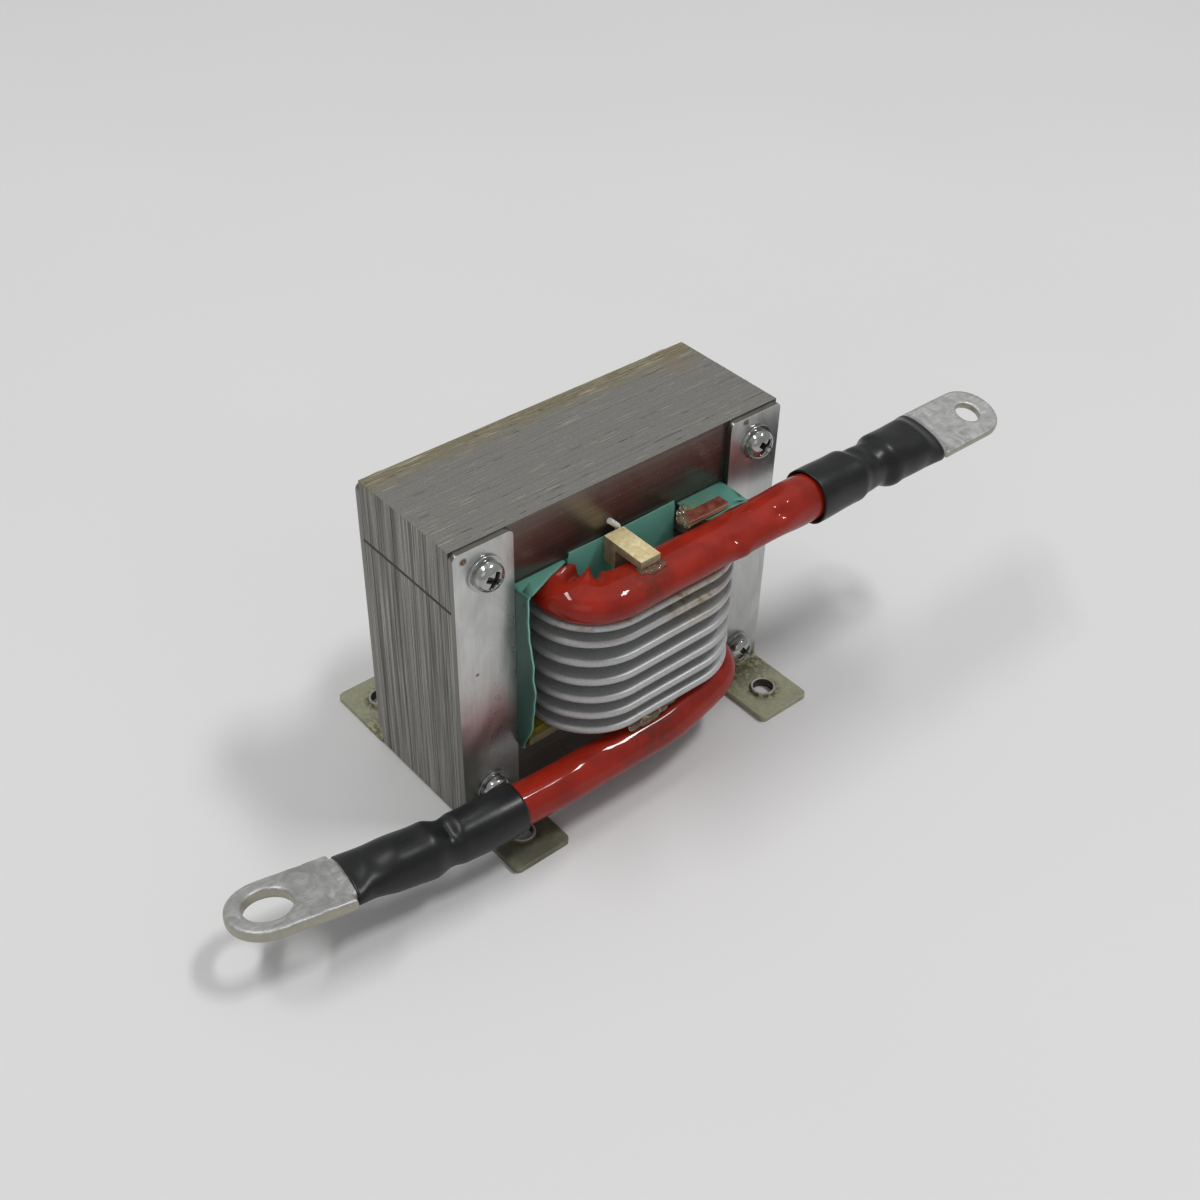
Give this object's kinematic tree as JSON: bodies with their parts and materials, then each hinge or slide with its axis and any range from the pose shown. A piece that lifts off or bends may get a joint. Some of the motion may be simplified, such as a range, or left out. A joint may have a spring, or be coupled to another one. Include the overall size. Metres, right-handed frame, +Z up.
{
  "type": "choke coil",
  "caption": "Iron-cored choke coil: laminated core with an air gap, edge-wound bare strip coil, red-sleeved leads with ring lugs, and foot straps for bolting down.",
  "frame": {"origin": "centre of the four foot holes, on the plane that the feet stand on", "axes": "+X along the core's length, towards the upper lead's lug; -Y is the front, where the leads cross; +Z up out of the mounting plane"},
  "size_m": [0.2292, 0.0764, 0.0816],
  "materials": {
    "lamination_steel": "stacked edges, varnished",
    "insulating_board": "matte board",
    "zinc_plate": "satin zinc plate, blotched",
    "green_film": "thin translucent film",
    "bare_strip": "satin drawn strip",
    "red_sleeving": "high gloss",
    "black_shrink": "satin",
    "tinned_lug": "tinned, scratched",
    "varnished_board": "varnished",
    "cream_block": "matte",
    "red_fibre": "matte, layered edge",
    "lacing_tie": "matte",
    "zinc_screw": "satin zinc plate"
  },
  "bodies": {
    "root": {"core_e_stack": "lamination_steel", "core_i_stack": "lamination_steel", "gap_spacer": "insulating_board", "bracket_front_left": "zinc_plate", "bracket_front_right": "zinc_plate", "bracket_rear_left": "zinc_plate", "bracket_rear_right": "zinc_plate", "window_liner_left": "green_film", "window_liner_right": "green_film", "centre_leg_wrap": "green_film", "winding": "bare_strip", "lead_sleeve_lower": "red_sleeving", "lead_sleeve_upper": "red_sleeving", "heat_shrink_lower": "black_shrink", "heat_shrink_upper": "black_shrink", "ring_lug_lower": "tinned_lug", "ring_lug_upper": "tinned_lug", "bottom_spacer": "varnished_board", "spacer_block": "cream_block", "fibre_shim": "red_fibre", "tie_stub": "lacing_tie", "screw_lower_left": "zinc_screw", "nut_lower_left": "zinc_screw", "flat_washer_lower_left": "zinc_screw", "spring_washer_lower_left": "zinc_screw", "rear_washer_lower_left": "zinc_screw", "screw_upper_left": "zinc_screw", "nut_upper_left": "zinc_screw", "flat_washer_upper_left": "zinc_screw", "spring_washer_upper_left": "zinc_screw", "rear_washer_upper_left": "zinc_screw", "screw_lower_right": "zinc_screw", "nut_lower_right": "zinc_screw", "flat_washer_lower_right": "zinc_screw", "spring_washer_lower_right": "zinc_screw", "rear_washer_lower_right": "zinc_screw", "screw_upper_right": "zinc_screw", "nut_upper_right": "zinc_screw", "flat_washer_upper_right": "zinc_screw", "spring_washer_upper_right": "zinc_screw", "rear_washer_upper_right": "zinc_screw"}
  },
  "joints": []
}
